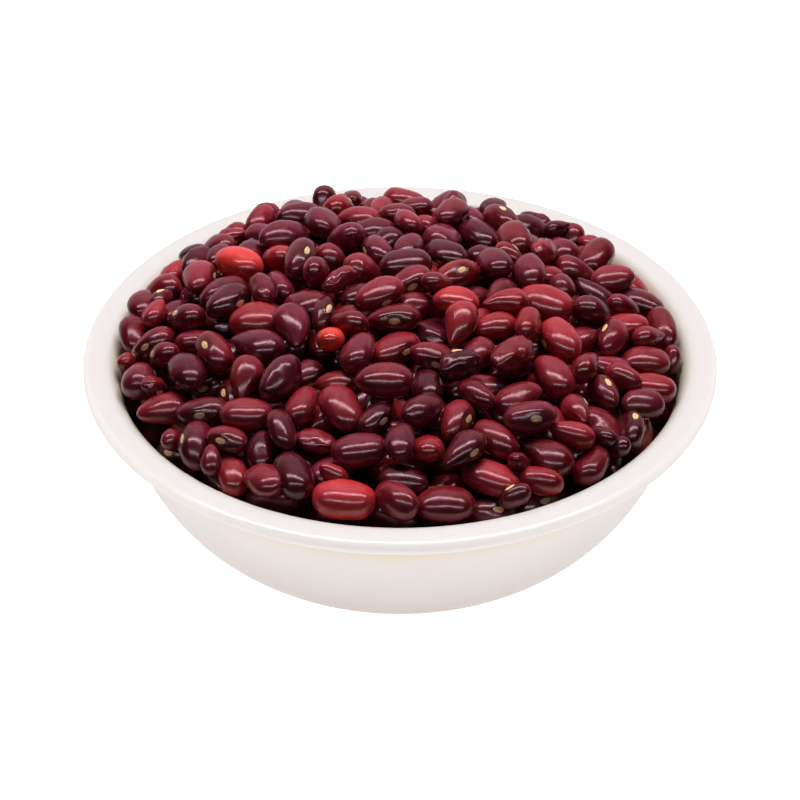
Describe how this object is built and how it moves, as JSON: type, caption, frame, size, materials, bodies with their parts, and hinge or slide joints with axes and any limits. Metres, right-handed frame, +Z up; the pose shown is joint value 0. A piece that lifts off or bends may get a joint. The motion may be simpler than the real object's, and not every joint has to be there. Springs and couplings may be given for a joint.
{
  "type": "bowl of dried beans",
  "caption": "Round white glazed bowl with a rolled lip, heaped above its rim with glossy dark red dried kidney beans.",
  "frame": {"origin": "on the surface the bowl stands on, under the middle of its foot", "axes": "+Z up along the bowl's axis, -Y towards the front of the picture, +X to the right"},
  "size_m": [0.165, 0.165, 0.0748],
  "materials": {
    "bowl_glaze": "off-white clear gloss glaze, faintly warm",
    "bean_skin": "smooth, waxy gloss, dark maroon to red"
  },
  "bodies": {
    "root": {"bowl": "bowl_glaze", "beans": "bean_skin"}
  },
  "joints": []
}
